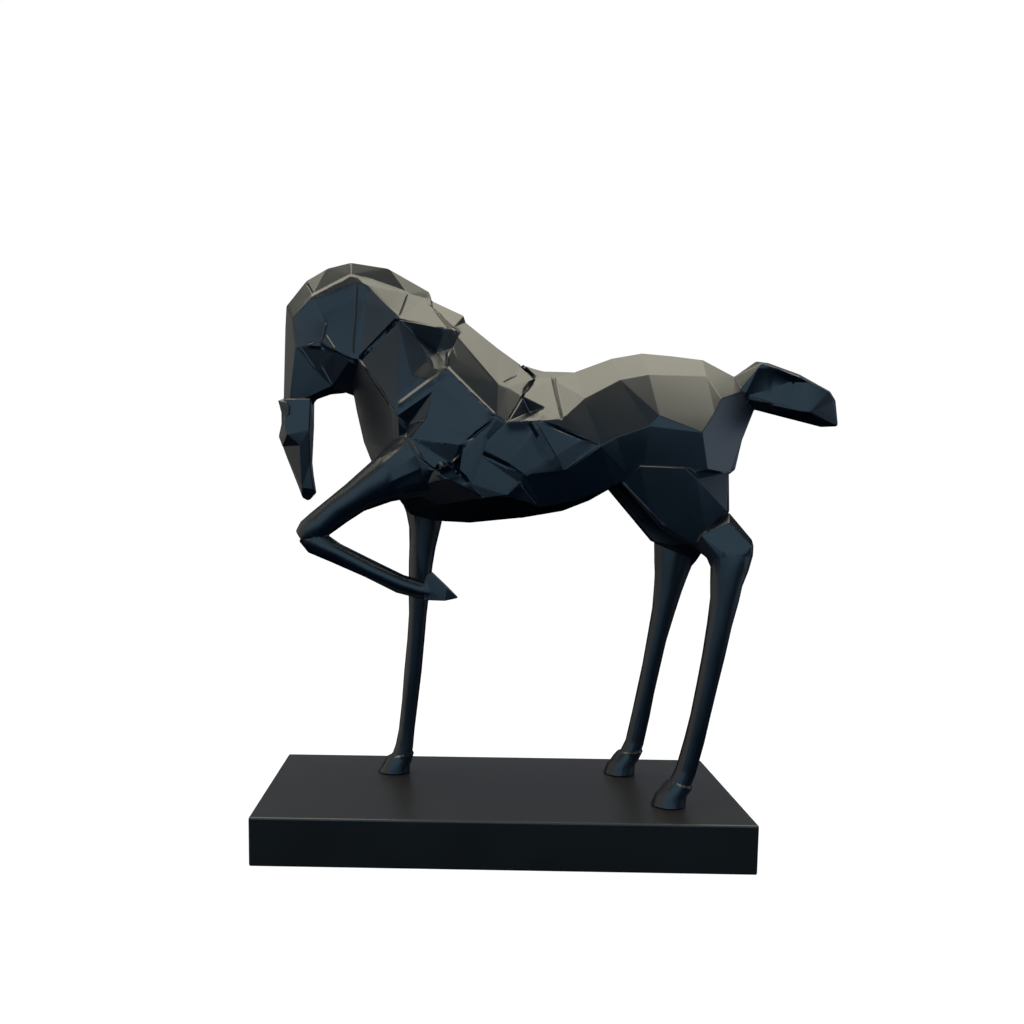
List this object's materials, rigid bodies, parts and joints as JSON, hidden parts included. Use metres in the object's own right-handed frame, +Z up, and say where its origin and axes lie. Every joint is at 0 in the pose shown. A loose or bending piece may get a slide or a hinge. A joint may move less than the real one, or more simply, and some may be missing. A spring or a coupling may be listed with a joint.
{
  "type": "geometric horse sculpture",
  "caption": "Faceted standing horse with arched neck, lowered head and one raised foreleg, on a plain rectangular plinth.",
  "frame": {"origin": "middle of the plinth's underside, on the surface the sculpture stands on", "axes": "+Z up, +X along the plinth towards the tail, -Y the near side with the raised foreleg"},
  "size_m": [0.385, 0.14, 0.3898],
  "materials": {
    "horse_lacquer": "satin blue-black lacquer on cast resin",
    "plinth_lacquer": "matt black lacquer on cast resin"
  },
  "bodies": {
    "root": {"horse": "horse_lacquer", "plinth": "plinth_lacquer"}
  },
  "joints": []
}
